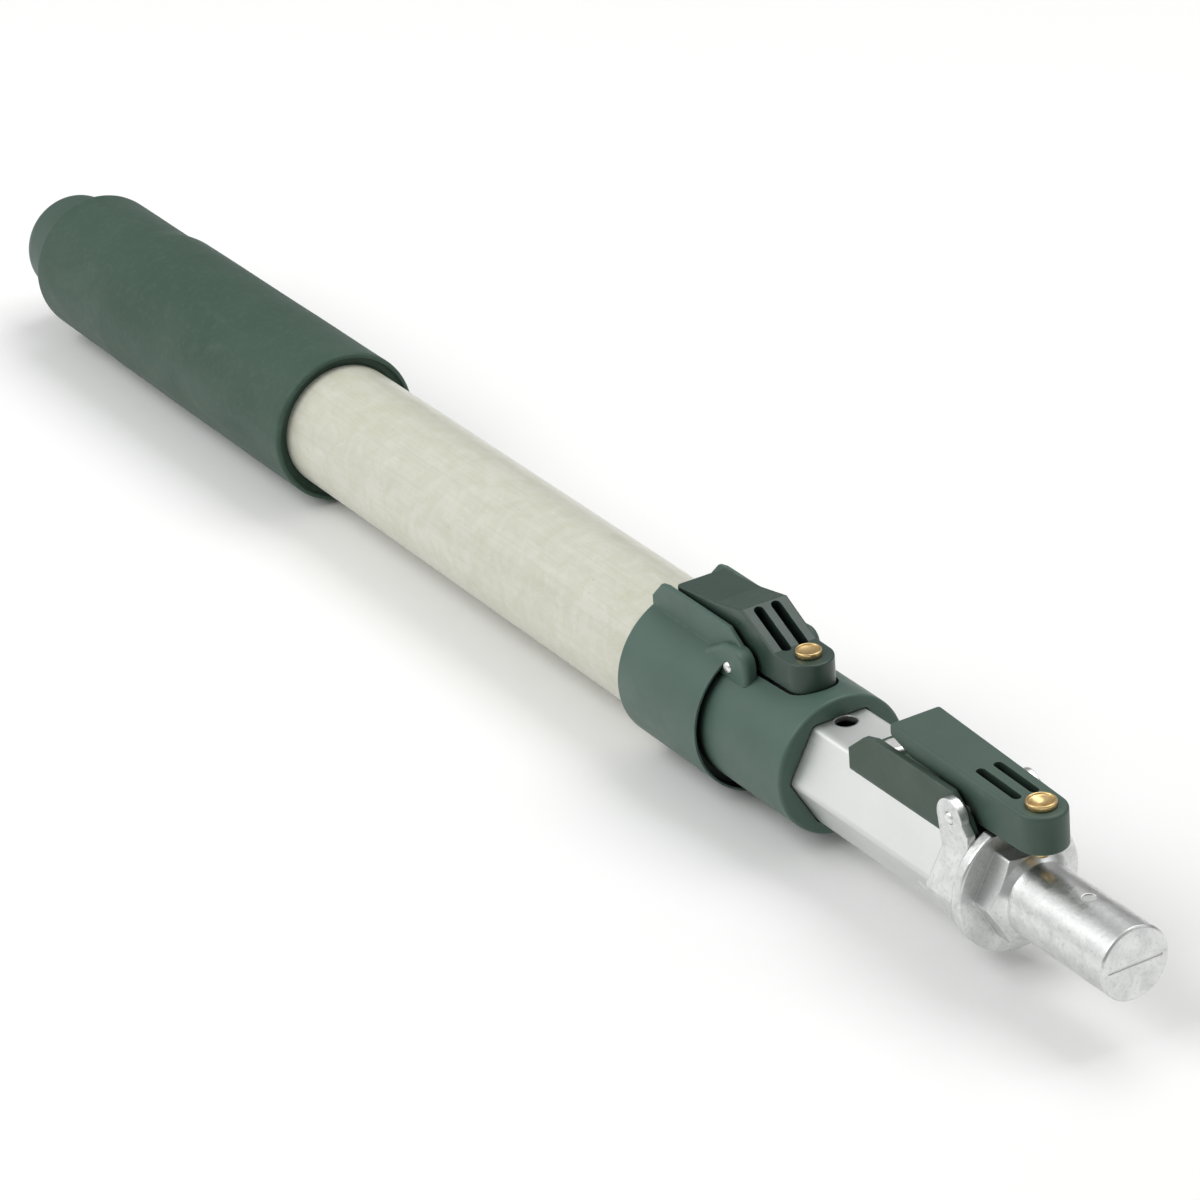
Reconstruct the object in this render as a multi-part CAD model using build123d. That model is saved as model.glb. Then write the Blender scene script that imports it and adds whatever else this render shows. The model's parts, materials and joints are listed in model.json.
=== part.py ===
from build123d import *
import os
from math import cos, radians, sqrt

# Telescopic extension pole. A fibreglass handle tube carries a moulded grip at the rear and a lock
# collar at the front. A hexagonal aluminium pole slides in it and ends in a cast tool tip. A spring
# lever on the collar drops a brass pin into the pole's row of holes, and a second spring lever on the
# tip drops a brass pin behind a tool's socket.
#
# Frame: +X runs along the pole towards the tool tip, +Z is the side of the two levers, and the origin
# is on the axis, at the middle of the grip's straight barrel. All lengths are in millimetres.

# ---- handle tube, grip and butt ----
TUBE_R = 17.5                 # fibreglass tube, 35 mm outside
TUBE_BORE_R = 15.3
GRIP_R = 21.3                 # straight barrel of the grip
GRIP_HALF = 53.0              # half the barrel's length
GRIP_LIP = 1.5                # rounded lip ahead of the barrel
GRIP_TAIL_R = 21.0            # slightly slimmer tail of the grip
GRIP_TAIL_LENGTH = 37.2
GRIP_STEP_LENGTH = 7.5        # short cone from the tail up to the barrel
GRIP_TAIL_ROUND = 2.8
MOUTH_R = 19.9                # shallow mouth round the tube at the grip's front
MOUTH_DEPTH = 1.6
LIP_ROUND = 1.3
KNOB_R = 15.2                 # knob of the butt cap
KNOB_LENGTH = 19.8
KNOB_ROUND = 5.5
CAP_FLANGE = 3.0
CAP_PLUG_LENGTH = 10.0
CAP_WALL = 3.2
KNOB_WALL = 6.4               # solid end of the knob
BUMPER_R = 14.9
BUMPER_THICK = 4.0
BUMPER_CHAMFER = 0.6

# ---- stations along the pole ----
GRIP_REAR = -GRIP_HALF - GRIP_STEP_LENGTH - GRIP_TAIL_LENGTH
FACE = 295.3                  # front face of the lock collar
TUBE_REAR = GRIP_REAR + CAP_FLANGE
TUBE_FRONT = FACE - 46.0

# ---- rivets and working allowances ----
RIVET_R = 1.6
RIVET_HEAD_R = 2.6
RIVET_HEAD = 1.0
RIVET_PROUD = 0.4             # how far a low head stands off a curved face
COLLAR_RIVETS = (FACE - 56.0, FACE - 41.5)
COLLAR_RIVET_STOP = 0.1       # the front one stops short of the tube's bore
OVERCUT = 1.0                 # how far a cutter runs past the face it opens
SKY = 45.0                    # top of cutters that are open upwards
TOL = 0.01                    # for picking edges by position

# ---- lock housing and guide collar ----
HOUSING_R = 20.2
HOUSING_REAR = FACE - 67.4
HOUSING_FRONT = FACE - 32.9
RECESS_R = 19.6               # shadow gap round the guide collar
RECESS_DEPTH = 4.0
EAR_OUT = 8.9                 # outer face of the ears either side of the lever
EAR_IN = 7.7
EAR_TOP = 25.9
EAR_BEVEL = 4.4
EAR_EASE = (2.8, 0.6)         # the bevel eases into the flat top over this length and height
EAR_FOOT = 10.0               # the ears and bosses start this far above the axis, inside the ring
EAR_NOSE = [(-2.0, 9.3), (3.0, 6.1), (7.6, 1.2)]      # front of an ear, from the pivot axis
BOSS_LINE = [(-13.5, -0.6), (-2.0, 5.6), (7.7, 6.4)]  # top of a pivot boss, from the pivot axis
BOSS_OUT = 11.0               # thick pivot boss on each ear, running back into the ring
BOSS_ROUND = 1.5
BOSS_NOSE_R = 3.8
TROUGH_FLOOR = 18.4           # flat under the lever's pad
COLLAR_R = 17.7
COLLAR_ROUND = 0.9
BORE_GAP = 0.3                # between the hexagonal pole and its guide, each side
WINDOW_REAR = FACE - 40.5
WINDOW_GAP = 0.6              # round the lock lever

# ---- hexagonal pole ----
HEX_AF = 25.4                 # across flats, 1 inch
HEX_WALL = 1.5
HEX_ROUND = 1.6
HOLE_R = 2.8
HOLE_PITCH = 50.8             # lock holes, 2 inches apart
HOLE_COUNT = 7
HOLE_LEAD = 0.4               # the pin swings this far back as it drops
CLOSED_TRAVEL = 15.0          # further travel back to the closed hole

# ---- levers, shared ----
PIN_R = 1.6                   # steel pivot pins
PIN_END_ROUND = 1.1
PIN_PROUD = 0.55              # how far the pivot pins stand out each side
PIN_GAP = 0.05                # running fit of a lever on its pivot pin
LEVER_HALF = 7.0              # half the width at the rear
NOSE_R = 6.1                  # the sides taper to a round nose
EYE_R = 3.5
SPRING_R = 2.75
SPRING_IN = 1.75
SPRING_HALF = 2.9
POCKET_R = 3.3                # room for the torsion spring in the lever
SLOT_Y = 2.4                  # two finger slots, one each side of the middle
REAR_ROUND = 1.0              # rear corners of a lever, seen from above
SLOT_DEPTH = 6.0
EDGE_ROUND = 0.5              # ears and the lock lever
STEEP = 0.8                   # an edge that rises faster than this is left sharp
PIN_TIP_CHAMFER = 0.5         # brass pins
HEAD_ROUND = 0.6
DISH_DEPTH = 0.7
LEVER_Z = 16.6                # height of both pivot axes

# ---- lock lever on the collar ----
LOCK_X = FACE - 31.0
LOCK_ARM = 18.8               # pivot to brass pin
LOCK_PIN_R = 2.3
LOCK_PIN_TIP = 13.0
LOCK_HEAD_R = 3.2
LOCK_HEAD = 1.5
LOCK_DISH = 1.2
# top, underside and slot floor lines in XZ, measured from the pivot axis
LOCK_TOP = [(-27.8, 9.8), (-10.8, 11.6), (0.5, 13.9), (13.1, 7.6), (LOCK_ARM + NOSE_R, 7.6)]
LOCK_UNDER = [(-27.8, 6.6), (-13.0, 7.2), (-3.5, 0.0), (0.0, 0.1), (LOCK_ARM + NOSE_R, 0.1)]
LOCK_SLOT = [(0.9, 13.7), (14.0, 7.15)]
LOCK_SLOT_WIDTH = 2.6

# ---- tool tip ----
TIP_X = FACE + 60.1           # pivot of the tip lever
TIP_ARM = 19.5
TIP_PIN_R = 1.9
TIP_PIN_TIP = 12.0
TIP_HEAD_R = 3.6
TIP_HEAD = 1.6
TIP_DISH = 2.2
TIP_TOP = [(-29.1, 10.2), (TIP_ARM + NOSE_R, 7.9)]
TIP_UNDER = [(-29.1, 7.2), (-22.5, 5.0), (-10.5, 4.8), (-4.0, 0.0), (-0.5, -1.3), (TIP_ARM + NOSE_R, -1.3)]
TIP_SLOT = [(-0.9, 9.01), (14.7, 8.35)]
TIP_SLOT_WIDTH = 2.4
TIP_EDGE_ROUND = 0.9
FLANGE_R = 16.4
FLANGE_FRONT = FACE + 70.2
FLANGE_THICK = 3.4
FLANGE_ROUND = 0.6
HEX_FRONT = FLANGE_FRONT - FLANGE_THICK
NOTCH_FLOOR = 14.5            # flat on the flange under the tip lever
NOTCH_HALF = 6.9
YOKE_IN = 9.05
YOKE_OUT = 11.3
YOKE_EAR_R = 4.7
YOKE_REAR = FACE + 57.3
YOKE_WALL = 1.6
YOKE_NOTCH = 9.0              # the skirt is open above this, between the ears
YOKE_FOOT = 6.0
NUT_R = 12.5                  # hexagon behind the shank, across corners
NUT_LENGTH = 6.3
NUT_CORNER = 0.8
NUT_BEVEL = (1.0, 1.8)        # bevel of its front corners, along and in
SHANK_R = 9.1
SHANK_ROOT = 1.6
SHANK_END = FACE + 112.8
SHANK_CHAMFER = 0.5
GROOVE_LENGTH = 14.5
GROOVE_WIDTH = 0.6
GROOVE_DEPTH = 0.25
CROSS_PIN_R = 1.7
CROSS_PIN_SUNK = 0.3          # its ends sit just below the shank's surface
CROSS_PIN_X = FACE + 96.6
TIP_PLUG_REAR = FACE + 40.0
TIP_RIVET_X = TIP_PLUG_REAR + 8.0
TIP_RIVET_LENGTH = 6.0

# ---- tip lever's base channel ----
BASE_REAR = FACE + 17.0
BASE_FRONT = FACE + 66.0
BASE_TOP = 21.7
BASE_IN = 7.5
BASE_FLOOR = 14.1
BASE_FLOOR_END = FACE + 53.0
BASE_RIVET_R = 3.4
BASE_RIVET_HEAD = 1.5
BASE_RIVET_ROUND = 1.3
BASE_RIVET_X = (BASE_REAR + 5.6, BASE_REAR + 30.0)
# bevelled rear of the cheeks, from BASE_REAR
BASE_NOSE = [(0.0, 15.2), (6.4, BASE_TOP - 1.3), (11.0, BASE_TOP)]
# their front, from BASE_FRONT
BASE_HEEL = [(-8.0, BASE_TOP), (-1.8, BASE_TOP - 4.5), (0.0, BASE_FLOOR)]
BASE_FOOT = 5.0               # how far down the cheeks reach on the pole's sloping flats

# ---- rear guide plug ----
PLUG_R = 14.85
PLUG_HEAD = 8.0
PLUG_SPIGOT = 14.0
PLUG_CHAMFER = 0.8
BUMPER_CLEARANCE = 0.4        # left between the closed pole and the bumper
HEX_REAR = TUBE_REAR + CAP_PLUG_LENGTH + BUMPER_THICK + CLOSED_TRAVEL + BUMPER_CLEARANCE + PLUG_HEAD
LOCK_HOLE_X = LOCK_X + LOCK_ARM - HOLE_LEAD


BASE_CENTRED = (Align.CENTER, Align.CENTER, Align.MIN)


def rod(x0, x1, r):
    """Cylinder along X."""
    return Pos(x0, 0, 0) * Rot(0, 90, 0) * Cylinder(r, x1 - x0, align=BASE_CENTRED)


def axle(x, z, r, y0, y1):
    """Cylinder along Y."""
    return Pos(x, y0, z) * Rot(-90, 0, 0) * Cylinder(r, y1 - y0, align=BASE_CENTRED)


def post(x, y, r, z0, z1):
    """Cylinder along Z."""
    return Pos(x, y, z0) * Cylinder(r, z1 - z0, align=BASE_CENTRED)


def block(x0, x1, y0, y1, z0, z1):
    return Pos((x0 + x1) / 2, (y0 + y1) / 2, (z0 + z1) / 2) * Box(x1 - x0, y1 - y0, z1 - z0)


def hex_bar(x0, x1, across_flats, corner=0.0):
    """Hexagonal bar along X with flats at the top and bottom."""
    section = RegularPolygon(across_flats / 2, 6, major_radius=False)
    if corner:
        section = fillet(section.vertices(), corner)
    return extrude(Plane.YZ.offset(x0) * section, amount=x1 - x0)


def plate(outline, y0, y1):
    """Plate between y0 and y1 from a closed XZ outline."""
    face = Plane.XZ.offset(-y1) * make_face(Polyline(*outline, close=True))
    return extrude(face, amount=y1 - y0)


def turned(outline):
    """Solid of revolution about X from a closed outline of (x, radius) points."""
    return revolve(make_face(Polyline(*outline, close=True)), Axis.X)


def both_sides(solid):
    return solid + mirror(solid, Plane.XZ)


def circle_at(solid, x):
    """Edges of a solid that lie in the plane at x."""
    return solid.edges().filter_by(lambda e: abs(e.center().X - x) < TOL)


# ---------------------------------------------------------------- handle
def grip_sleeve():
    barrel_rear = -GRIP_HALF
    mouth = GRIP_HALF + GRIP_LIP
    body = turned([
        (GRIP_REAR, TUBE_R), (GRIP_REAR, GRIP_TAIL_R), (barrel_rear - GRIP_STEP_LENGTH, GRIP_TAIL_R),
        (barrel_rear, GRIP_R), (mouth, GRIP_R), (mouth, MOUTH_R), (mouth - MOUTH_DEPTH, MOUTH_R),
        (mouth - MOUTH_DEPTH, TUBE_R),
    ])
    rings = body.edges().filter_by(GeomType.CIRCLE)
    rear = rings.filter_by(lambda e: abs(e.center().X - GRIP_REAR) < TOL and e.radius > GRIP_TAIL_R - TOL)
    body = fillet(rear, GRIP_TAIL_ROUND)
    rings = body.edges().filter_by(GeomType.CIRCLE)
    lip = rings.filter_by(lambda e: abs(e.center().X - mouth) < TOL and e.radius > GRIP_R - TOL)
    return fillet(lip, LIP_ROUND)


def butt_cap():
    knob_end = GRIP_REAR - KNOB_LENGTH
    knob = rod(knob_end, GRIP_REAR, KNOB_R)
    knob = fillet(circle_at(knob, knob_end), KNOB_ROUND)
    cap = knob + rod(GRIP_REAR, TUBE_REAR, TUBE_R) + rod(TUBE_REAR, TUBE_REAR + CAP_PLUG_LENGTH, TUBE_BORE_R)
    return cap - rod(knob_end + KNOB_WALL, TUBE_REAR + CAP_PLUG_LENGTH, TUBE_BORE_R - CAP_WALL)


def end_bumper():
    rear = TUBE_REAR + CAP_PLUG_LENGTH
    disc = rod(rear, rear + BUMPER_THICK, BUMPER_R)
    return chamfer(disc.edges().filter_by(GeomType.CIRCLE), BUMPER_CHAMFER)


# ---------------------------------------------------------------- lock collar
def from_axis(pivot_x, line):
    """Points in XZ from points measured from a lever's pivot axis."""
    return [(pivot_x + x, LEVER_Z + z) for x, z in line]


def ear_outline():
    """Side of an ear: a bevelled rear corner, a flat top and a nose that slopes down past the pivot."""
    nose = from_axis(LOCK_X, EAR_NOSE)
    top_start = HOUSING_REAR + EAR_BEVEL
    along, down = EAR_EASE
    return [(HOUSING_REAR, EAR_FOOT), (HOUSING_REAR, EAR_TOP - down - EAR_BEVEL), (top_start, EAR_TOP - down),
            (top_start + along, EAR_TOP), *nose, (nose[-1][0], EAR_FOOT)]


def boss_outline():
    """Side of a pivot boss: it rises out of the ring, and its front is level with the ear's nose."""
    line = from_axis(LOCK_X, BOSS_LINE)
    return [(line[0][0], EAR_FOOT), *line, (line[-1][0], EAR_FOOT)]


def outer_rim(solid, y):
    """Edges of a solid's outer face at y, above the ears' foot."""
    return solid.edges().filter_by(lambda e: e.center().Y > y - TOL and e.center().Z > EAR_FOOT + OVERCUT)


def rivet_up(x, r_in, r_out):
    """Rivet on the underside, from its head at radius r_out in to a curved end at radius r_in."""
    shank = post(x, 0, RIVET_R, -r_out, -r_in + 2 * OVERCUT)
    shank -= rod(x - RIVET_R - OVERCUT, x + RIVET_R + OVERCUT, r_in)
    return shank + post(x, 0, RIVET_HEAD_R, -r_out - RIVET_PROUD, -r_out + RIVET_HEAD)


def collar_rivets():
    rear, front = COLLAR_RIVETS
    return [rivet_up(rear, TUBE_BORE_R, HOUSING_R),
            rivet_up(front, TUBE_BORE_R + COLLAR_RIVET_STOP, HOUSING_R)]


def lever_plan(x_rear, nose_x, gap=0.0):
    """Tall prism over a lever's plan: straight sides that taper to a round nose."""
    rear, nose = LEVER_HALF + gap, NOSE_R + gap
    sides = make_face(Polyline((x_rear, -rear), (nose_x, -nose), (nose_x, nose), (x_rear, rear), close=True))
    sides = fillet(sides.vertices().group_by(Axis.X)[0], REAR_ROUND)
    return extrude(sides + Pos(nose_x, 0) * Circle(nose), amount=2 * EAR_TOP)


def lock_window():
    """Opening under the lock lever, through to the pole."""
    return lever_plan(WINDOW_REAR, LOCK_X + LOCK_ARM, WINDOW_GAP)


def pin_bore(x):
    """Cutter for a pivot pin, right through both sides."""
    return axle(x, LEVER_Z, PIN_R, -TUBE_R, TUBE_R)


def pole_passage(x0, x1):
    return hex_bar(x0, x1, HEX_AF + 2 * BORE_GAP, HEX_ROUND)


def lock_housing():
    ring = rod(HOUSING_REAR, HOUSING_FRONT, HOUSING_R)
    ear = plate(ear_outline(), EAR_IN, EAR_OUT)
    ear = fillet(outer_rim(ear, EAR_OUT), EDGE_ROUND)
    boss = plate(boss_outline(), EAR_IN, BOSS_OUT)
    nose = boss.edges().filter_by(Axis.Y).sort_by(Axis.Z)[-2:]
    boss = fillet(nose, BOSS_NOSE_R)
    boss = fillet(outer_rim(boss, BOSS_OUT), BOSS_ROUND)
    body = ring + both_sides(ear + boss)
    body -= rod(HOUSING_REAR, HOUSING_FRONT, TUBE_R)
    body -= rod(HOUSING_FRONT - RECESS_DEPTH, FACE, COLLAR_R)
    gap = rod(HOUSING_FRONT - RECESS_DEPTH, HOUSING_FRONT, RECESS_R)
    gap -= both_sides(block(HOUSING_REAR, FACE, EAR_IN, BOSS_OUT, 0, EAR_TOP))
    body -= gap
    body -= block(HOUSING_REAR, HOUSING_FRONT, -EAR_IN, EAR_IN, TROUGH_FLOOR, SKY)
    body -= lock_window()
    body -= pin_bore(LOCK_X)
    return body - collar_rivets()


def guide_collar():
    step = HOUSING_FRONT - RECESS_DEPTH
    body = rod(step, FACE, COLLAR_R)
    body = fillet(circle_at(body, FACE), COLLAR_ROUND)
    body += rod(TUBE_FRONT, step, TUBE_R)
    body -= pole_passage(TUBE_FRONT, FACE)
    body -= lock_window()
    body -= pin_bore(LOCK_X)
    return body - collar_rivets()


def fiberglass_tube():
    tube = rod(TUBE_REAR, TUBE_FRONT, TUBE_R) - rod(TUBE_REAR, TUBE_FRONT, TUBE_BORE_R)
    return tube - collar_rivets()


def pivot_pin(x, reach):
    pin = axle(x, LEVER_Z, PIN_R, -reach, reach)
    return fillet(pin.edges().filter_by(GeomType.CIRCLE), PIN_END_ROUND)


def torsion_spring(x):
    """Envelope of the spring's coil round the pivot pin."""
    return (axle(x, LEVER_Z, SPRING_R, -SPRING_HALF, SPRING_HALF)
            - axle(x, LEVER_Z, SPRING_IN, -SPRING_HALF, SPRING_HALF))


# ---------------------------------------------------------------- levers
def finger_slot(start, end, width, y):
    """Round-ended slot cut into a sloping face that runs from start to end in XZ."""
    (x0, z0), (x1, z1) = start, end
    run = Vector(x1 - x0, 0, z1 - z0)
    plane = Plane(origin=((x0 + x1) / 2, y, (z0 + z1) / 2), x_dir=run, z_dir=Vector(z0 - z1, 0, x1 - x0))
    shape = SlotOverall(run.length, width)
    return extrude(plane * shape, amount=2 * SLOT_DEPTH) + extrude(plane * shape, amount=-SLOT_DEPTH)


def lever(pivot_x, top_line, under_line, arm, pin_r, head_r, slot_ends, slot_width, edge_round):
    """Lever on its pivot axis. Its top and underside are lines in XZ from the pivot, rear to nose."""
    top, bottom = top_line[-1][1], under_line[-1][1]
    body = plate(from_axis(pivot_x, top_line + under_line[::-1]), -LEVER_HALF, LEVER_HALF)
    body += axle(pivot_x, LEVER_Z, EYE_R, -LEVER_HALF, LEVER_HALF)
    body = body & lever_plan(pivot_x + top_line[0][0], pivot_x + arm)
    nose_x = pivot_x + arm

    def on_top_rim(edge):
        c = edge.center()
        upper = c.Z > LEVER_Z + top - edge_round
        level = abs(edge.tangent_at(0.5).Z) < STEEP
        return upper and level and (abs(c.Y) > SLOT_Y + slot_width or c.X > nose_x)
    body = fillet(body.edges().filter_by(on_top_rim), edge_round)
    body -= axle(pivot_x, LEVER_Z, PIN_R + PIN_GAP, -LEVER_HALF, LEVER_HALF)
    body -= axle(pivot_x, LEVER_Z, POCKET_R, -POCKET_R, POCKET_R)
    body -= block(pivot_x - POCKET_R, pivot_x + POCKET_R, -POCKET_R, POCKET_R,
                  LEVER_Z - EYE_R - OVERCUT, LEVER_Z)
    start, end = from_axis(pivot_x, slot_ends)
    for y in (-SLOT_Y, SLOT_Y):
        body -= finger_slot(start, end, slot_width, y)
    body -= post(nose_x, 0, head_r, LEVER_Z + top, SKY)
    return body - post(nose_x, 0, pin_r, LEVER_Z + bottom, LEVER_Z + top)


def lock_lever():
    return lever(LOCK_X, LOCK_TOP, LOCK_UNDER, LOCK_ARM, LOCK_PIN_R, LOCK_HEAD_R, LOCK_SLOT,
                 LOCK_SLOT_WIDTH, EDGE_ROUND)


def tip_lever():
    return lever(TIP_X, TIP_TOP, TIP_UNDER, TIP_ARM, TIP_PIN_R, TIP_HEAD_R, TIP_SLOT,
                 TIP_SLOT_WIDTH, TIP_EDGE_ROUND)


def brass_pin(x, r, tip, head_base, head_r, head, dish):
    """Pin with a chamfered tip and a rounded head that has a round dish in its top."""
    crown = head_base + head
    pin = post(x, 0, r, tip, crown)
    pin = chamfer(pin.edges().group_by(Axis.Z)[0], PIN_TIP_CHAMFER)
    cap = post(x, 0, head_r, head_base, crown)
    cap = fillet(cap.edges().group_by(Axis.Z)[-1], HEAD_ROUND)
    return pin + cap - post(x, 0, dish, crown - DISH_DEPTH, crown)


def lock_pin():
    return brass_pin(LOCK_X + LOCK_ARM, LOCK_PIN_R, LOCK_PIN_TIP, LEVER_Z + LOCK_TOP[-1][1],
                     LOCK_HEAD_R, LOCK_HEAD, LOCK_DISH)


def tip_lock_pin():
    return brass_pin(TIP_X + TIP_ARM, TIP_PIN_R, TIP_PIN_TIP, LEVER_Z + TIP_TOP[-1][1],
                     TIP_HEAD_R, TIP_HEAD, TIP_DISH)


# ---------------------------------------------------------------- inner pole
def hole_stations():
    row = [LOCK_HOLE_X - k * HOLE_PITCH for k in range(HOLE_COUNT)]
    return [LOCK_HOLE_X + CLOSED_TRAVEL] + row


def rear_plug_rivet():
    x = HEX_REAR + PLUG_SPIGOT / 2
    return post(x, 0, RIVET_R, -HEX_AF / 2, 0)


def tip_plug_rivets():
    down = post(TIP_RIVET_X, 0, RIVET_R, HEX_AF / 2 - TIP_RIVET_LENGTH, HEX_AF / 2)
    return [Rot(side, 0, 0) * down for side in (120, -120)]


def base_rivets():
    shank_low = HEX_AF / 2 - HEX_WALL - OVERCUT
    rivets = []
    for x in BASE_RIVET_X:
        head = post(x, 0, BASE_RIVET_R, BASE_FLOOR, BASE_FLOOR + BASE_RIVET_HEAD)
        head = fillet(head.edges().group_by(Axis.Z)[-1], BASE_RIVET_ROUND)
        rivets.append(head + post(x, 0, RIVET_R, shank_low, BASE_FLOOR))
    return rivets


def hex_pole():
    pole = hex_bar(HEX_REAR, HEX_FRONT, HEX_AF, HEX_ROUND)
    pole -= hex_bar(HEX_REAR, HEX_FRONT, HEX_AF - 2 * HEX_WALL)
    for x in hole_stations():
        pole -= post(x, 0, HOLE_R, 0, HEX_AF)
    return pole - [rear_plug_rivet()] - tip_plug_rivets() - base_rivets()


def rear_guide_plug():
    plug = rod(HEX_REAR - PLUG_HEAD, HEX_REAR, PLUG_R)
    plug = chamfer(plug.edges().filter_by(GeomType.CIRCLE), PLUG_CHAMFER)
    plug += hex_bar(HEX_REAR, HEX_REAR + PLUG_SPIGOT, HEX_AF - 2 * HEX_WALL)
    return plug - rear_plug_rivet()


def lever_base():
    """Channel that sits over the pole's top flat, with a bevelled rear and a rounded-down front."""
    side = [(BASE_REAR, BASE_FOOT)] + [(BASE_REAR + x, z) for x, z in BASE_NOSE]
    side += [(BASE_FRONT + x, z) for x, z in BASE_HEEL] + [(BASE_FRONT, BASE_FOOT)]
    base = plate(side, -YOKE_IN, YOKE_IN) - hex_bar(BASE_REAR, BASE_FRONT, HEX_AF, HEX_ROUND)
    base -= block(BASE_REAR, BASE_FRONT, -BASE_IN, BASE_IN, BASE_FLOOR, SKY)
    base -= block(BASE_FLOOR_END, BASE_FRONT, -BASE_IN, BASE_IN, 0, SKY)
    return base - pin_bore(TIP_X) - base_rivets()


def yoke():
    """Skirt over the pole's end and two ears either side of the lever's base channel."""
    skirt = hex_bar(YOKE_REAR, HEX_FRONT, HEX_AF + 2 * YOKE_WALL, HEX_ROUND)
    skirt -= block(YOKE_REAR, HEX_FRONT, -YOKE_IN, YOKE_IN, YOKE_NOTCH, SKY)
    ear = axle(TIP_X, LEVER_Z, YOKE_EAR_R, YOKE_IN, YOKE_OUT)
    ear += plate([(TIP_X - YOKE_EAR_R, LEVER_Z), (YOKE_REAR, YOKE_FOOT), (HEX_FRONT, YOKE_FOOT),
                  (HEX_FRONT, NOTCH_FLOOR), (TIP_X + YOKE_EAR_R, LEVER_Z)], YOKE_IN, YOKE_OUT)
    body = skirt + both_sides(ear) - hex_bar(TIP_X - YOKE_EAR_R, HEX_FRONT, HEX_AF, HEX_ROUND)
    return body - pin_bore(TIP_X)


def flange():
    disc = rod(HEX_FRONT, FLANGE_FRONT, FLANGE_R)
    disc = fillet(disc.edges().filter_by(GeomType.CIRCLE), FLANGE_ROUND)
    return disc - block(HEX_FRONT, FLANGE_FRONT, -NOTCH_HALF, NOTCH_HALF, NOTCH_FLOOR, SKY)


def tip_cross_pin():
    reach = SHANK_R - CROSS_PIN_SUNK
    return post(CROSS_PIN_X, 0, CROSS_PIN_R, -reach, reach)


def tip_casting():
    nut_front = FLANGE_FRONT + NUT_LENGTH
    plug = hex_bar(TIP_PLUG_REAR, FLANGE_FRONT, HEX_AF - 2 * HEX_WALL)
    along, inward = NUT_BEVEL
    nut = hex_bar(FLANGE_FRONT, nut_front, NUT_R * sqrt(3), NUT_CORNER)
    nut = nut & turned([(FLANGE_FRONT, 0), (FLANGE_FRONT, NUT_R), (nut_front - along, NUT_R),
                        (nut_front, NUT_R - inward), (nut_front, 0)])
    shank = turned([(nut_front, 0), (nut_front, SHANK_R + SHANK_ROOT), (nut_front + SHANK_ROOT, SHANK_R),
                    (SHANK_END - SHANK_CHAMFER, SHANK_R), (SHANK_END, SHANK_R - SHANK_CHAMFER),
                    (SHANK_END, 0)])
    shank -= block(SHANK_END - GROOVE_DEPTH, SHANK_END, -GROOVE_LENGTH / 2, GROOVE_LENGTH / 2,
                   -GROOVE_WIDTH / 2, GROOVE_WIDTH / 2)
    body = plug + yoke() + flange() + nut + shank
    body -= post(CROSS_PIN_X, 0, CROSS_PIN_R, -SHANK_R, SHANK_R)
    return body - tip_plug_rivets() - base_rivets()


NODES = {
    "fiberglass_tube": fiberglass_tube,
    "grip_sleeve": grip_sleeve,
    "butt_cap": butt_cap,
    "end_bumper": end_bumper,
    "lock_housing": lock_housing,
    "guide_collar": guide_collar,
    "collar_rivets": collar_rivets,
    "lock_pivot_pin": lambda: pivot_pin(LOCK_X, BOSS_OUT + PIN_PROUD),
    "lock_spring": lambda: torsion_spring(LOCK_X),
    "lock_lever": lock_lever,
    "lock_pin": lock_pin,
    "hex_pole": hex_pole,
    "rear_guide_plug": rear_guide_plug,
    "rear_plug_rivet": rear_plug_rivet,
    "tip_casting": tip_casting,
    "tip_cross_pin": tip_cross_pin,
    "tip_plug_rivets": tip_plug_rivets,
    "lever_base": lever_base,
    "base_rivets": base_rivets,
    "tip_pivot_pin": lambda: pivot_pin(TIP_X, YOKE_OUT + PIN_PROUD),
    "tip_spring": lambda: torsion_spring(TIP_X),
    "tip_lever": tip_lever,
    "tip_lock_pin": tip_lock_pin,
}

os.makedirs("parts", exist_ok=True)
for name, make in NODES.items():
    made = make()
    pieces = made if isinstance(made, list) else [made]
    solids = [solid for piece in pieces for solid in piece.solids()]
    export_step(solids[0] if len(solids) == 1 else Compound(children=solids), f"parts/{name}.step")
    print(name, len(solids))
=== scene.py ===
import json
from math import cos, pi, radians, sin

import bpy
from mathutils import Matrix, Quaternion, Vector, noise

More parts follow.
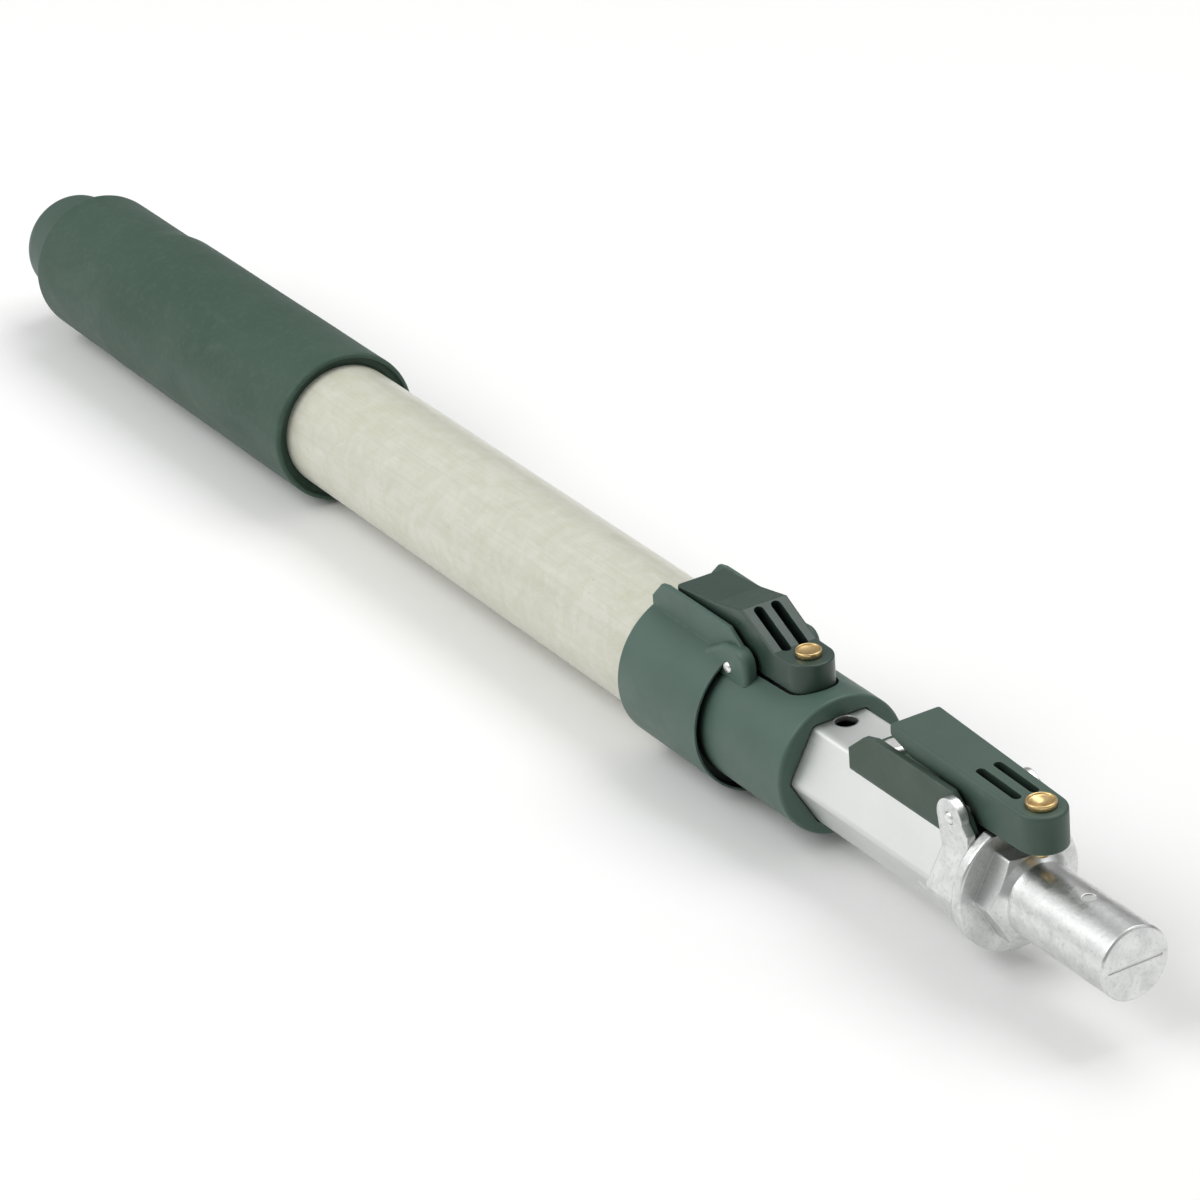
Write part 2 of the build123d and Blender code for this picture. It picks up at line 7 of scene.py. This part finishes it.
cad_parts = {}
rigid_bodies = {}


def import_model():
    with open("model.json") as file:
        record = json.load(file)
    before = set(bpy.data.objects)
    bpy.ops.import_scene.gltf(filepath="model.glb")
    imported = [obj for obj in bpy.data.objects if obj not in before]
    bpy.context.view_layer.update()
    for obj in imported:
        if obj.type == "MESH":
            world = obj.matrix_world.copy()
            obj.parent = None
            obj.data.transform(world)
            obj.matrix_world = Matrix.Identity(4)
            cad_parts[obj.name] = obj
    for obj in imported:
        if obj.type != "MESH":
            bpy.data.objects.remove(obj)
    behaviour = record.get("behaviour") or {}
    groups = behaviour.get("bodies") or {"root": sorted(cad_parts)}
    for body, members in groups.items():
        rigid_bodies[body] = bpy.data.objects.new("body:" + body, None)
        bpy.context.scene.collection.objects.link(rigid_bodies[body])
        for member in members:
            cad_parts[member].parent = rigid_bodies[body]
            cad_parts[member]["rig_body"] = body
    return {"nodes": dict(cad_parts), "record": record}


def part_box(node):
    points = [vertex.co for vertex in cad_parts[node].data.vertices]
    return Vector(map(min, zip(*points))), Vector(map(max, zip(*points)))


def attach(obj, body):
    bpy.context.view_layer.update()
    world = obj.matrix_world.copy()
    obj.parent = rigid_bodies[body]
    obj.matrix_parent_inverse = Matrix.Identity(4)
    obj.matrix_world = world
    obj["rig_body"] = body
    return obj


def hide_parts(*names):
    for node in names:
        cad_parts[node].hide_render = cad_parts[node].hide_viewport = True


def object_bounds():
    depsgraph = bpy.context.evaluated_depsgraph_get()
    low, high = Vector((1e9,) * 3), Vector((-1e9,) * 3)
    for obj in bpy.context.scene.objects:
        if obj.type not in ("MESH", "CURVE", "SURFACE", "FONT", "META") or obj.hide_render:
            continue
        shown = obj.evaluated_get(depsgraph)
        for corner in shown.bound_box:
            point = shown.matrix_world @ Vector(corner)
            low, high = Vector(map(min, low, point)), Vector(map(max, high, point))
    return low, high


# Telescopic extension pole: a grip and fibreglass tube, a lock collar with its lever, a hexagonal
# aluminium pole and a cast tool tip with a second lever. Everything is in metres, in the CAD frame.

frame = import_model()
cad_bounds = [list(corner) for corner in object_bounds()]
nodes = frame["nodes"]
slot_of = {part["node"]: part["material_slot"] for part in frame["record"]["subparts"]}
body_of = {name: obj["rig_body"] for name, obj in nodes.items()}
MM = 0.001


def link(name, data):
    """New object for some data, in the scene."""
    obj = bpy.data.objects.new(name, data)
    bpy.context.scene.collection.objects.link(obj)
    return obj


def turn_towards(obj, back, roll=0.0):
    """Turn a camera or a light so that it looks along -back."""
    obj.rotation_mode = "QUATERNION"
    obj.rotation_quaternion = back.to_track_quat("Z", "Y") @ Quaternion((0, 0, 1), roll)


# ---- camera: long lens, above and to the right of the tip, slightly rolled ----
LENS_MM = 147.6
SENSOR_MM = 36.0
VIEW_AZIMUTH = radians(60.53)
VIEW_ELEVATION = radians(26.91)
VIEW_ROLL = radians(4.5)
AIM_X = 0.1866
AIM_DISTANCE = 1.2326


def place_camera():
    """Camera that looks at a point on the pole's axis."""
    data = bpy.data.cameras.new("camera")
    data.lens = LENS_MM
    data.sensor_width = SENSOR_MM
    camera = link("camera", data)
    back = Vector((sin(VIEW_AZIMUTH) * cos(VIEW_ELEVATION), -cos(VIEW_AZIMUTH) * cos(VIEW_ELEVATION),
                   sin(VIEW_ELEVATION)))
    camera.location = Vector((AIM_X, 0, 0)) + back * AIM_DISTANCE
    turn_towards(camera, back, -VIEW_ROLL)
    bpy.context.scene.camera = camera


# ---------------------------------------------------------------- materials
MIX_COLOURS, MIX_RESULT = (6, 7), 2    # the Mix node's sockets for two colours and their mix
NOISE_ROUGHNESS = 0.55
NORMAL_SAMPLES = 6
EDGE_MASK_ANGLE = (0.99, 0.80)              # cosines between which an edge goes from open face to full edge mask, for wear and painted highlight
SOFT_EDGE = 0.3 * MM                   # rounding that light sees on a moulded edge
# painted shade: the near-black colour that slots and gaps in the plastics darken towards
PLASTIC_PAINTED_SHADE = (0.006, 0.009, 0.008)


class Shader:
    """One procedural material: a Principled shader and short helpers for the nodes that feed it."""

    def __init__(self, name, roughness, metallic=0.0, **constants):
        self.material = bpy.data.materials.new(name)
        self.material.use_nodes = True
        self.tree = self.material.node_tree
        self.shader = self.tree.nodes["Principled BSDF"]
        self.shader.inputs["Roughness"].default_value = roughness
        self.shader.inputs["Metallic"].default_value = metallic
        for socket, value in constants.items():
            self.shader.inputs[socket.replace("_", " ")].default_value = value
        self.place = self.tree.nodes.new("ShaderNodeTexCoord").outputs["Object"]

    def node(self, kind, links=None, **settings):
        """Add a node, set its properties, and link or set its inputs."""
        made = self.tree.nodes.new("ShaderNode" + kind)
        for key, value in settings.items():
            setattr(made, key, value)
        for socket, value in (links or {}).items():
            if isinstance(value, bpy.types.NodeSocket):
                self.tree.links.new(value, made.inputs[socket])
            else:
                made.inputs[socket].default_value = value
        return made

    def stretched(self, along_x):
        """Object coordinates squeezed along X, so that noise turns into lines along the pole."""
        return self.node("Mapping", {"Vector": self.place, "Scale": (along_x, 1.0, 1.0)}).outputs["Vector"]

    def noise(self, per_metre, detail=3.0, place=None, distortion=0.0):
        """Noise of 0..1, with its grain given in cells per metre."""
        return self.node("TexNoise", {"Vector": place or self.place, "Scale": per_metre, "Detail": detail,
                                      "Roughness": NOISE_ROUGHNESS, "Distortion": distortion}).outputs["Fac"]

    def spread(self, value, low, high, to_low, to_high):
        """Map low..high of a value to to_low..to_high, held at both ends."""
        return self.node("MapRange", {"Value": value, "From Min": low, "From Max": high, "To Min": to_low,
                                      "To Max": to_high}).outputs["Result"]

    def sum(self, *values):
        """All the values added up."""
        total = values[0]
        for value in values[1:]:
            total = self.node("Math", {0: total, 1: value}, operation="ADD").outputs[0]
        return total

    def tint(self, factor, base, other):
        """Colour that goes from base to other with a factor of 0..1."""
        mix = self.node("Mix", {"Factor": factor}, data_type="RGBA")
        for socket, colour in zip(MIX_COLOURS, (base, other)):
            if isinstance(colour, bpy.types.NodeSocket):
                self.tree.links.new(colour, mix.inputs[socket])
            else:
                mix.inputs[socket].default_value = (*colour, 1)
        return mix.outputs[MIX_RESULT]

    def rounded_normal(self, radius):
        """Normal of the surface as if its edges were rounded."""
        return self.node("Bevel", {"Radius": radius}, samples=NORMAL_SAMPLES).outputs["Normal"]

    def edge_wear_and_highlight(self, radius):
        """0 on open faces, up to 1 on convex and concave edges: the mask for paler edges, partly wear and
        partly painted highlight.
        """
        around = self.rounded_normal(radius)
        flat = self.node("NewGeometry").outputs["Normal"]
        same = self.node("VectorMath", {0: around, 1: flat}, operation="DOT_PRODUCT").outputs["Value"]
        return self.spread(same, *EDGE_MASK_ANGLE, 0.0, 1.0)

    def occlusion_shade(self, reach):
        """1 in the open, towards 0 deep in slots and gaps: the mask for painted shade."""
        return self.node("AmbientOcclusion", {"Distance": reach}, samples=NORMAL_SAMPLES).outputs["AO"]

    def finish(self, colour, roughness=None, bumps=(), soften=0.0):
        """Connect the colour, roughness and a stack of (height, depth in metres) bumps."""
        self.tree.links.new(colour, self.shader.inputs["Base Color"])
        if roughness is not None:
            self.tree.links.new(roughness, self.shader.inputs["Roughness"])
        normal = self.rounded_normal(soften) if soften else None
        for height, depth in bumps:
            links = {"Height": height, "Strength": 1.0, "Distance": depth}
            if normal is not None:
                links["Normal"] = normal
            normal = self.node("Bump", links).outputs["Normal"]
        if normal is not None:
            self.tree.links.new(normal, self.shader.inputs["Normal"])
        return self.material


def moulded_plastic(name, dark, light, worn_and_lit_edge, roughness, grain_depth):
    """Matt moulded plastic with a fine spark-eroded grain, blotches of handling, paler edges partly worn and
    partly painted highlight, and painted shade in slots.
    """
    m = Shader(name, roughness, Specular_IOR_Level=0.42)
    blotch = m.noise(46.0, 4.0)
    grain = m.noise(2600.0, 2.0)
    colour = m.tint(m.spread(blotch, 0.3, 0.7, 0.0, 1.0), dark, light)
    # paler edges: partly wear, partly painted highlight where the edges catch light
    edge = m.node("Math", {0: m.edge_wear_and_highlight(0.0007), 1: m.spread(m.noise(420.0), 0.35, 0.65, 0.15, 0.6)},
                  operation="MULTIPLY").outputs[0]
    colour = m.tint(edge, colour, worn_and_lit_edge)
    # painted shade: slots and gaps darken towards near black where light doesn't reach
    colour = m.tint(m.spread(m.occlusion_shade(0.006), 0.20, 0.64, 0.90, 0.0), colour, PLASTIC_PAINTED_SHADE)
    rough = m.sum(m.spread(m.noise(130.0, 4.0), 0.3, 0.7, roughness - 0.06, roughness + 0.05),
                  m.spread(grain, 0.3, 0.7, -0.03, 0.03))
    return m.finish(colour, rough, ((grain, grain_depth), (m.noise(150.0, 2.0), 0.00008)), soften=SOFT_EDGE)


def grip_vinyl(name):
    """Soft moulded grip: an even skin with faint rubbed marks and a fine pebble."""
    m = Shader(name, 0.62, Specular_IOR_Level=0.36, Sheen_Weight=0.03, Sheen_Roughness=0.6)
    blotch = m.noise(34.0, 5.0, distortion=0.6)
    colour = m.tint(m.spread(blotch, 0.35, 0.68, 0.0, 1.0), (0.031, 0.070, 0.048), (0.042, 0.083, 0.060))
    scuff = m.noise(70.0, 6.0, place=m.stretched(0.35), distortion=1.2)
    colour = m.tint(m.spread(scuff, 0.58, 0.76, 0.0, 0.34), colour, (0.095, 0.145, 0.115))
    fleck = m.noise(520.0, 4.0)
    colour = m.tint(m.spread(fleck, 0.50, 0.75, 0.0, 0.22), colour, (0.090, 0.135, 0.110))
    pebble = m.node("TexVoronoi", {"Vector": m.place, "Scale": 1500.0}).outputs["Distance"]
    rough = m.spread(scuff, 0.4, 0.75, 0.56, 0.70)
    return m.finish(colour, rough, ((pebble, 0.00002), (m.noise(90.0, 3.0), 0.00022)), soften=SOFT_EDGE)


def glass_fibre(name):
    """Cream resin over glass rovings: fine lines along the tube, mottled patches and small specks."""
    m = Shader(name, 0.36, Coat_Weight=0.25, Coat_Roughness=0.18)
    patch = m.sum(m.noise(190.0, 5.0, distortion=0.8), m.spread(m.noise(38.0, 2.0), 0.3, 0.7, -0.06, 0.06))
    colour = m.tint(m.spread(patch, 0.34, 0.68, 0.0, 1.0), (0.622, 0.622, 0.540), (0.560, 0.560, 0.448))
    roving = m.noise(1300.0, 3.0, place=m.stretched(0.03))
    colour = m.tint(m.spread(roving, 0.42, 0.72, 0.0, 0.30), colour, (0.480, 0.478, 0.385))
    veil = m.noise(520.0, 4.0, place=m.stretched(0.5), distortion=2.5)
    colour = m.tint(m.spread(veil, 0.56, 0.70, 0.0, 0.30), colour, (0.680, 0.680, 0.630))
    speck = m.node("TexVoronoi", {"Vector": m.place, "Scale": 260.0, "Randomness": 1.0}).outputs["Distance"]
    colour = m.tint(m.spread(speck, 0.10, 0.03, 0.0, 0.40), colour, (0.400, 0.390, 0.300))
    rough = m.spread(veil, 0.35, 0.7, 0.30, 0.46)
    return m.finish(colour, rough, ((roving, 0.00005), (veil, 0.00003), (m.noise(60.0, 2.0), 0.0002)))


def drawn_aluminium(name):
    """Drawn and anodised aluminium: long die lines, a satin face and faint rubbing marks."""
    m = Shader(name, 0.40, metallic=1.0, Anisotropic=0.25)
    lines = m.noise(2600.0, 3.0, place=m.stretched(0.006))
    bloom = m.noise(60.0, 4.0)
    colour = m.tint(m.spread(bloom, 0.3, 0.7, 0.0, 1.0), (0.745, 0.762, 0.748), (0.705, 0.722, 0.708))
    rub = m.noise(380.0, 3.0, place=m.stretched(0.05))
    colour = m.tint(m.spread(rub, 0.62, 0.78, 0.0, 0.20), colour, (0.640, 0.655, 0.645))
    rough = m.sum(m.spread(lines, 0.3, 0.7, 0.44, 0.50), m.spread(bloom, 0.3, 0.7, -0.03, 0.03))
    return m.finish(colour, rough, ((lines, 0.000003), (rub, 0.000003)), soften=0.0007)


def tumbled_casting(name):
    """Zinc casting that was tumbled: soft dimples, a cloudy surface, painted shade in hollows, and bright
    edges that are partly tumbling polish and partly painted highlight.
    """
    m = Shader(name, 0.36, metallic=1.0)
    cloud = m.noise(210.0, 5.0, distortion=0.9)
    colour = m.tint(m.spread(cloud, 0.32, 0.68, 0.0, 1.0), (0.790, 0.798, 0.785), (0.640, 0.652, 0.648))
    pit = m.noise(1100.0, 2.0)
    colour = m.tint(m.spread(pit, 0.52, 0.74, 0.0, 0.40), colour, (0.430, 0.445, 0.448))
    # bright edges: partly polish from tumbling, partly painted highlight
    colour = m.tint(m.edge_wear_and_highlight(0.0006), colour, (0.880, 0.885, 0.875))
    # painted shade: hollows darken towards dark grey where light doesn't reach
    colour = m.tint(m.spread(m.occlusion_shade(0.004), 0.20, 0.65, 0.60, 0.0), colour, (0.260, 0.265, 0.265))
    rough = m.sum(m.spread(cloud, 0.3, 0.7, 0.28, 0.42), m.spread(pit, 0.4, 0.7, -0.02, 0.06))
    bumps = ((m.noise(330.0, 3.0), 0.00006), (m.noise(1300.0, 3.0), 0.000018))
    return m.finish(colour, rough, bumps, soften=0.0004)


def turned_metal(name, bright, dull, roughness, scale):
    """Small turned or drawn metal pieces: fine tool marks and a little tarnish."""
    m = Shader(name, roughness, metallic=1.0)
    tarnish = m.noise(700.0, 4.0)
    colour = m.tint(m.spread(tarnish, 0.38, 0.70, 0.0, 1.0), bright, dull)
    marks = m.noise(scale, 3.0)
    rough = m.spread(tarnish, 0.3, 0.7, roughness - 0.06, roughness + 0.10)
    return m.finish(colour, rough, ((marks, 0.000004),), soften=0.0001)


def moulded_rubber(name, colour, roughness):
    """Dull rubber with a faint pale bloom."""
    m = Shader(name, roughness, Specular_IOR_Level=0.3)
    bloom = m.noise(160.0, 4.0)
    pale = tuple(2.2 * channel for channel in colour)
    return m.finish(m.tint(m.spread(bloom, 0.4, 0.75, 0.0, 0.5), colour, pale), None,
                    ((m.noise(1800.0, 2.0), 0.00003),), soften=SOFT_EDGE)


MATERIALS = {                 # moulded plastics: dark and light patch, edge colour (partly wear, partly painted highlight), roughness, grain depth
    "fibreglass": glass_fibre("fibreglass"),
    "grip": grip_vinyl("grip"),
    "green_plastic": moulded_plastic("green_plastic", (0.048, 0.086, 0.066), (0.058, 0.101, 0.078),
                                     (0.125, 0.185, 0.155), 0.46, 0.00002),
    # painted light: the green plastic made lighter for the collar and housing
    "green_plastic_painted_light": moulded_plastic("green_plastic_painted_light", (0.060, 0.110, 0.088), (0.071, 0.127, 0.103),
                                      (0.150, 0.215, 0.185), 0.46, 0.00002),
    # painted shade: the green plastic made darker for the lock lever, which is also glossier
    "lever_plastic_painted_shade": moulded_plastic("lever_plastic_painted_shade", (0.030, 0.056, 0.044), (0.037, 0.066, 0.053),
                                     (0.110, 0.160, 0.140), 0.33, 0.00001),
    # painted shade: the green plastic made darker for the lever base
    "green_plastic_painted_shade": moulded_plastic("green_plastic_painted_shade", (0.036, 0.064, 0.046), (0.044, 0.075, 0.055),
                                    (0.110, 0.160, 0.135), 0.46, 0.00002),
    "black_rubber": moulded_rubber("black_rubber", (0.012, 0.012, 0.012), 0.7),
    "black_plastic": moulded_plastic("black_plastic", (0.014, 0.014, 0.014), (0.022, 0.022, 0.022),
                                     (0.06, 0.06, 0.06), 0.45, 0.00001),
    "pole_aluminium": drawn_aluminium("pole_aluminium"),
    "cast_metal": tumbled_casting("cast_metal"),
    "steel": turned_metal("steel", (0.90, 0.90, 0.89), (0.74, 0.74, 0.73), 0.38, 1800.0),
    "peened_steel": turned_metal("peened_steel", (0.62, 0.64, 0.62), (0.50, 0.52, 0.50), 0.50, 900.0),
    "spring_steel": turned_metal("spring_steel", (0.50, 0.50, 0.50), (0.30, 0.29, 0.28), 0.32, 2400.0),
    "brass": turned_metal("brass", (0.78, 0.57, 0.27), (0.56, 0.40, 0.19), 0.30, 2200.0),
}


# ---------------------------------------------------------------- mesh helpers
def new_piece(name, verts, faces, node):
    """Smooth piece in metres in the frame. It stands for a CAD node, with that node's slot and body."""
    mesh = bpy.data.meshes.new(name)
    mesh.from_pydata(verts, [], faces)
    mesh.validate()
    piece = link(name, mesh)
    mesh.materials.append(MATERIALS[slot_of[node]])
    mesh.polygons.foreach_set("use_smooth", [True] * len(mesh.polygons))
    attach(piece, body_of[node])
    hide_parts(node)
    return piece


def loft(rings, closed=False):
    """Vertices and faces through closed rings of points, each with the same count."""
    count = len(rings[0])
    verts = [tuple(point) for ring in rings for point in ring]
    faces = []
    for row in range(len(rings) if closed else len(rings) - 1):
        low, high = row * count, (row + 1) % len(rings) * count
        faces += [(low + k, low + (k + 1) % count, high + (k + 1) % count, high + k) for k in range(count)]
    return verts, faces


def cap_ends(verts, faces, count):
    """Close the first and last ring of a loft."""
    faces.append(tuple(range(count - 1, -1, -1)))
    faces.append(tuple(range(len(verts) - count, len(verts))))


def arc(cx, cy, r, start, end, steps):
    """Points on an arc of a profile, angles in degrees."""
    angles = [radians(start + (end - start) * k / steps) for k in range(steps + 1)]
    return [(cx + r * cos(a), cy + r * sin(a)) for a in angles]


def sweep(points, r, sides=12):
    """Round wire along a line of points, with flat ends."""
    rings = []
    last = len(points) - 1
    side = None
    for k, here in enumerate(points):
        ahead = (points[min(k + 1, last)] - points[max(k - 1, 0)]).normalized()
        side = ahead.orthogonal() if side is None else side - ahead * side.dot(ahead)
        side.normalize()
        up = ahead.cross(side)
        rings.append([here + side * (r * cos(2 * pi * j / sides)) + up * (r * sin(2 * pi * j / sides))
                      for j in range(sides)])
    verts, faces = loft(rings)
    cap_ends(verts, faces, sides)
    return verts, faces


def middle(node):
    """Centre of a node's box at rest."""
    low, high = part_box(node)
    return (Vector(low) + Vector(high)) / 2


# ---------------------------------------------------------------- pieces that replace CAD nodes
WIRE_R = 0.33 * MM
COIL_TURNS = 6
COIL_STEPS = 28               # points in each turn
WIRE_LEG = 1.1 * MM           # straight end of the wire


def coil_spring(node):
    """Torsion spring: a close coil round the pivot pin with two straight ends."""
    low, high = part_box(node)
    centre = middle(node)
    r = (high[0] - low[0]) / 2 - WIRE_R
    start, end = low[1] + WIRE_R, high[1] - WIRE_R
    line = []
    total = COIL_TURNS * COIL_STEPS
    for k in range(total + 1):
        angle = 2 * pi * k / COIL_STEPS
        y = start + (end - start) * k / total
        line.append(Vector((centre.x + r * cos(angle), y, centre.z + r * sin(angle))))
    line.insert(0, line[0] - Vector((0, 0, WIRE_LEG)))
    line.append(line[-1] + Vector((0, 0, WIRE_LEG)))
    verts, faces = sweep(line, WIRE_R)
    new_piece(node + "_coil", verts, faces, node)


HEAD_SIDES = 64
HEAD_UNDER_ROUND = 0.35 * MM
PIN_TIP_CHAMFER = 0.5 * MM
DISH_RINGS = 10
DISH_CENTRE_R = 0.02 * MM     # a tiny flat that closes the dish
SHARP_EDGE = radians(40)      # faces that meet at more than this keep a hard edge


def turned_pin(node, shank_r, head_r, head_height, dish_r, dish_depth):
    """Brass pin turned about Z: chamfered tip, shank and a head with a rolled lip round a smooth dish."""
    low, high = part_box(node)
    centre = middle(node)
    tip, top = low[2], high[2]
    base = top - head_height
    lip = (head_r - dish_r) / 2
    profile = [(shank_r - PIN_TIP_CHAMFER, tip), (shank_r, tip + PIN_TIP_CHAMFER), (shank_r, base)]
    profile += arc(head_r - HEAD_UNDER_ROUND, base + HEAD_UNDER_ROUND, HEAD_UNDER_ROUND, -90, 0, 5)
    profile += arc(head_r - lip, top - lip, lip, 0, 180, 12)
    inner = dish_r - lip / 2
    for k in range(DISH_RINGS + 1):
        across = 1 - k / DISH_RINGS
        profile.append((max(inner * across, DISH_CENTRE_R), top - lip - dish_depth * (1 - across ** 2)))
    rings = [[(centre.x + r * cos(2 * pi * k / HEAD_SIDES), centre.y + r * sin(2 * pi * k / HEAD_SIDES), z)
              for k in range(HEAD_SIDES)] for r, z in profile]
    verts, faces = loft(rings)
    cap_ends(verts, faces, HEAD_SIDES)
    piece = new_piece(node + "_turned", verts, faces, node)
    piece.data.set_sharp_from_angle(angle=SHARP_EDGE)


# the grip's profile is in millimetres, and becomes metres as its rings are made
GRIP_SIDES = 192
GRIP_STEP_MM = 1.2            # ring spacing on the long faces
GRIP_CONE_RINGS = 16
GRIP_BARREL_REAR = -53.0
GRIP_STEP_LENGTH = 7.5
GRIP_R, GRIP_TAIL_R = 21.3, 21.0
GRIP_DENT = 0.6               # the tail is flattened a little along one side
GRIP_DENT_SIDE = radians(44)
GRIP_BORE_R, GRIP_MOUTH_R, GRIP_MOUTH_DEPTH = 17.5, 19.9, 1.6
GRIP_MOUTH_MARGIN = 0.05      # points further out than this from the mouth belong to the outer skin
GRIP_LIP_ROUND, GRIP_INNER_ROUND, GRIP_TAIL_ROUND = 1.1, 0.3, 3.2
GRIP_WAVE = 0.22              # how far the moulded skin wanders, inward only
GRIP_WAVE_ALONG, GRIP_WAVE_ROUND = 0.045, 1.1    # how quickly it does, per millimetre and round the grip


def long_run(start, end, spacing):
    """Points from start to just short of end."""
    steps = max(1, int(Vector((end[0] - start[0], end[1] - start[1])).length / spacing))
    return [(start[0] + (end[0] - start[0]) * k / steps, start[1] + (end[1] - start[1]) * k / steps)
            for k in range(steps)]


def grip_profile(rear, front):
    """The grip's outline as (x, radius): up the tail, along the outside and back into the mouth."""
    shoulder = GRIP_BARREL_REAR - GRIP_STEP_LENGTH
    inner = front - GRIP_MOUTH_DEPTH
    profile = long_run((rear, GRIP_BORE_R), (rear, GRIP_TAIL_R - GRIP_TAIL_ROUND), GRIP_STEP_MM)
    profile += arc(rear + GRIP_TAIL_ROUND, GRIP_TAIL_R - GRIP_TAIL_ROUND, GRIP_TAIL_ROUND, 180, 90, 8)
    profile += long_run((rear + GRIP_TAIL_ROUND + 1, GRIP_TAIL_R), (shoulder, GRIP_TAIL_R), GRIP_STEP_MM)
    for k in range(GRIP_CONE_RINGS + 1):
        blend = k / GRIP_CONE_RINGS
        rise = blend * blend * (3 - 2 * blend)
        profile.append((shoulder + GRIP_STEP_LENGTH * blend, GRIP_TAIL_R + (GRIP_R - GRIP_TAIL_R) * rise))
    profile += long_run((GRIP_BARREL_REAR + 1, GRIP_R), (front - GRIP_LIP_ROUND, GRIP_R), GRIP_STEP_MM)
    profile += arc(front - GRIP_LIP_ROUND, GRIP_R - GRIP_LIP_ROUND, GRIP_LIP_ROUND, 90, 0, 8)
    profile += arc(front - GRIP_INNER_ROUND, GRIP_MOUTH_R + GRIP_INNER_ROUND, GRIP_INNER_ROUND, 0, -90, 4)
    profile += [(inner + 0.5, GRIP_MOUTH_R), (inner + 0.1, GRIP_MOUTH_R - 0.4), (inner, GRIP_MOUTH_R - 0.9),
                (inner, GRIP_BORE_R)]
    return profile


def grip_skin(x, r, angle):
    """Radius at one point of a ring: the outer skin waves a little, and the tail has its dent."""
    if r <= GRIP_MOUTH_R + GRIP_MOUTH_MARGIN:
        return r
    place = Vector((x * GRIP_WAVE_ALONG, GRIP_WAVE_ROUND * cos(angle), GRIP_WAVE_ROUND * sin(angle)))
    skin = r - GRIP_WAVE * (0.5 + 0.5 * noise.noise(place))
    if x < GRIP_BARREL_REAR:
        along = min(1.0, (GRIP_BARREL_REAR - x) / GRIP_STEP_LENGTH)
        skin -= GRIP_DENT * along * max(0.0, cos(angle - GRIP_DENT_SIDE)) ** 2
    return skin


def moulded_grip(node):
    """Grip sleeve: a rounded tail, a cone up to the barrel, a rolled lip and an open mouth round the tube."""
    low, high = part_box(node)
    angles = [2 * pi * k / GRIP_SIDES for k in range(GRIP_SIDES)]
    rings = []
    for x, r in grip_profile(low[0] / MM, high[0] / MM):
        skins = [grip_skin(x, r, angle) * MM for angle in angles]
        rings.append([(x * MM, skin * cos(angle), skin * sin(angle)) for skin, angle in zip(skins, angles)])
    verts, faces = loft(rings, closed=True)
    new_piece(node + "_moulded", verts, faces, node)


place_camera()

FINISH_OF = {                 # nodes whose material differs from the rest of their slot: lighter and darker copies of the green plastic that paint light and shade, a glossier lever, and peened steel
    "lock_housing": "green_plastic_painted_light",
    "guide_collar": "green_plastic_painted_light",
    "lock_lever": "lever_plastic_painted_shade",
    "lever_base": "green_plastic_painted_shade",
    "tip_cross_pin": "peened_steel",
}
for name, obj in nodes.items():
    obj.data.materials.clear()
    obj.data.materials.append(MATERIALS[FINISH_OF.get(name, slot_of[name])])

coil_spring("lock_spring")
coil_spring("tip_spring")
turned_pin("lock_pin", 2.3 * MM, 3.2 * MM, 1.5 * MM, 2.6 * MM, 0.25 * MM)
turned_pin("tip_lock_pin", 1.9 * MM, 3.6 * MM, 1.6 * MM, 2.9 * MM, 0.8 * MM)
moulded_grip("grip_sleeve")


# ---------------------------------------------------------------- floor, lights and surroundings
FLOOR_HALF = 6.0
FLOOR_COLOURS = (0.91, 0.91, 0.905), (0.93, 0.93, 0.925)
LIGHT_AIM = Vector((0.2, 0, 0))
LIGHTS = (                    # name, place, size in metres, watts
    ("key", (-0.1, -1.1, 1.3), (1.4, 1.0), 14.5),
    ("side", (-0.9, -1.0, 0.45), (1.2, 0.8), 2.6),
    ("top", (0.1, 0.75, 1.5), (1.5, 0.9), 11.5),
    ("rim", (0.9, 1.1, 0.9), (0.8, 0.6), 1.5),
)
SKY_STOPS = ((0.0, 0.45), (0.12, 0.30), (0.45, 0.75), (0.8, 1.0))    # height and grey
SKY_STRENGTH = 0.52


def floor():
    """Pale painted floor at the object's lowest point."""
    low = cad_bounds[0][2]
    mesh = bpy.data.meshes.new("floor")
    s = FLOOR_HALF
    mesh.from_pydata([(-s, -s, low), (s, -s, low), (s, s, low), (-s, s, low)], [], [(0, 1, 2, 3)])
    obj = link("floor", mesh)
    paint = Shader("floor_paint", 0.85, Specular_IOR_Level=0.1)
    mesh.materials.append(paint.finish(paint.tint(paint.noise(1.5), *FLOOR_COLOURS)))


def light(name, location, size, power):
    """Rectangular soft box that shines at the middle of the pole."""
    data = bpy.data.lights.new(name, "AREA")
    data.shape = "RECTANGLE"
    data.size, data.size_y = size
    data.energy = power
    obj = link(name, data)
    obj.location = location
    turn_towards(obj, Vector(location) - LIGHT_AIM)


def surroundings():
    """Studio walls as a grey gradient: bright overhead, darker at the horizon."""
    world = bpy.data.worlds.new("studio")
    world.use_nodes = True
    tree = world.node_tree
    height = tree.nodes.new("ShaderNodeSeparateXYZ")
    tree.links.new(tree.nodes.new("ShaderNodeTexCoord").outputs["Generated"], height.inputs[0])
    ramp = tree.nodes.new("ShaderNodeValToRGB")
    while len(ramp.color_ramp.elements) < len(SKY_STOPS):
        ramp.color_ramp.elements.new(0.5)
    for element, (position, value) in zip(ramp.color_ramp.elements, SKY_STOPS):
        element.position = position
        element.color = (value, value, value, 1)
    tree.links.new(height.outputs["Z"], ramp.inputs[0])
    tree.links.new(ramp.outputs[0], tree.nodes["Background"].inputs[0])
    tree.nodes["Background"].inputs[1].default_value = SKY_STRENGTH
    bpy.context.scene.world = world


floor()
for settings in LIGHTS:
    light(*settings)
surroundings()
bpy.context.scene.view_settings.view_transform = "Standard"
